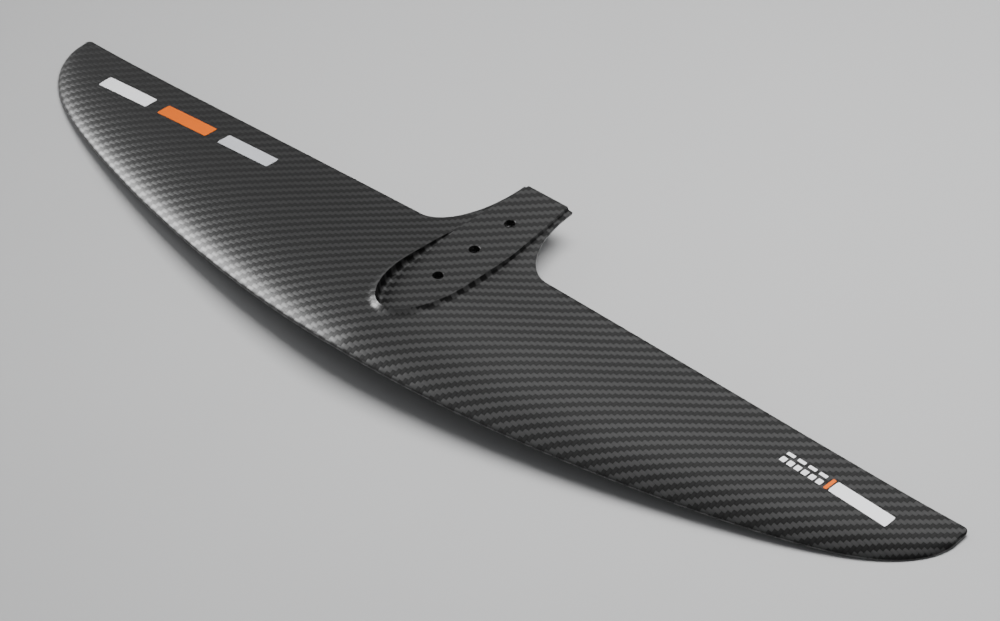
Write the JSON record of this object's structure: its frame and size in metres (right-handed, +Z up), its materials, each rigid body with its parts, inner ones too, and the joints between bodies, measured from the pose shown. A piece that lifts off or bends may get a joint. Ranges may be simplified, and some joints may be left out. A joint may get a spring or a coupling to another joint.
{
  "type": "hydrofoil front wing",
  "caption": "Swept carbon lifting wing with drooped tips, a sunk bullet-nosed seat and a short tongue that take a fuselage bar on a line of screws.",
  "frame": {"origin": "centre of the middle screw hole, on the flat face of the seat", "axes": "+X along the span towards the wing tip with the label panel, +Y aft towards the tongue, +Z up, out of the seat"},
  "size_m": [0.75, 0.19, 0.0344],
  "materials": {
    "carbon_weave": "two by two twill carbon cloth under clear coat",
    "carbon_laminate": "solid carbon laminate",
    "resin_filler": "filled epoxy",
    "core_foam": "closed cell structural foam",
    "stainless": "turned stainless steel",
    "white_film": "printed film under clear coat",
    "orange_film": "printed film under clear coat",
    "grey_film": "printed film under clear coat"
  },
  "bodies": {
    "root": {"upper_skin": "carbon_weave", "lower_skin": "carbon_weave", "seat_plate": "carbon_weave", "hub_block": "carbon_laminate", "tip_block_left": "carbon_laminate", "tip_block_right": "carbon_laminate", "spar_cap_upper": "carbon_laminate", "spar_cap_lower": "carbon_laminate", "leading_edge_bead": "carbon_laminate", "trailing_edge_strip_left": "resin_filler", "trailing_edge_strip_right": "resin_filler", "core_left": "core_foam", "core_right": "core_foam", "core_centre": "core_foam", "screw_seat_front": "stainless", "screw_seat_middle": "stainless", "screw_seat_rear": "stainless", "patch_white": "white_film", "patch_orange": "orange_film", "patch_grey": "grey_film", "label_panel": "white_film", "label_stripe": "orange_film", "label_marks": "white_film"}
  },
  "joints": []
}
